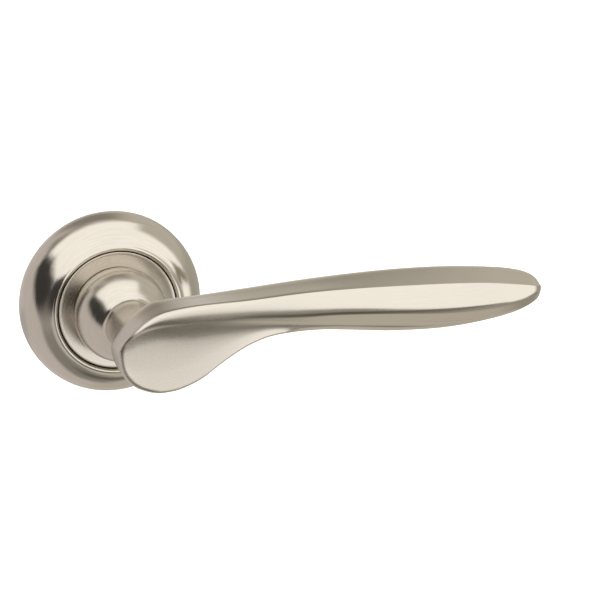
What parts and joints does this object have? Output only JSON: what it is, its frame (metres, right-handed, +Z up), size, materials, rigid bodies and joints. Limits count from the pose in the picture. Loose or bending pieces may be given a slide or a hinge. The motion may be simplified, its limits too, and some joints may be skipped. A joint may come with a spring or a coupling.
{
  "type": "door lever handle",
  "caption": "Satin nickel door lever on a round domed rose: leaf-shaped grip, ball neck, sprung return, square spindle and rose fixings.",
  "frame": {"origin": "on the spindle's axis, in the plane of the door's face that the rose sits on", "axes": "+X along the grip from the spindle, +Y into the door along the spindle, +Z up"},
  "size_m": [0.1406, 0.1026, 0.053],
  "materials": {
    "satin_nickel": "satin brushed nickel plate over die-cast zinc",
    "polished_nickel": "polished nickel plate",
    "lever_nickel": "nickel plate, satin on the paddle and polished along the grip",
    "cast_zinc": "plain die-cast zinc alloy",
    "zinced_steel": "bright zinc-plated steel",
    "spring_steel": "oiled spring steel",
    "nylon": "moulded nylon"
  },
  "bodies": {
    "rose": {"rose_cover": "satin_nickel", "trim_ring": "polished_nickel", "base_plate": "cast_zinc", "cover_snap_ring": "spring_steel", "bearing_bush": "nylon", "chamber_lid": "zinced_steel", "lid_screw_1": "zinced_steel", "lid_screw_2": "zinced_steel", "lid_screw_3": "zinced_steel", "fixing_bolt_left": "zinced_steel", "fixing_bolt_right": "zinced_steel", "wood_screw_bottom": "zinced_steel", "wood_screw_top": "zinced_steel", "return_spring": "spring_steel"},
    "handle": {"lever": "lever_nickel", "spindle": "zinced_steel", "grub_screw": "spring_steel", "circlip": "spring_steel", "retaining_washer": "zinced_steel", "stop_cam": "zinced_steel"}
  },
  "joints": [
    {"name": "lever_turn", "type": "hinge", "parent": "rose", "child": "handle", "pos_m": [0, 0, 0], "axis": [0, 1, 0], "range_deg": [0, 45], "stiffness_Nm_per_rad": 0.6, "springref_deg": -28.65, "deforming": ["return_spring"]}
  ]
}
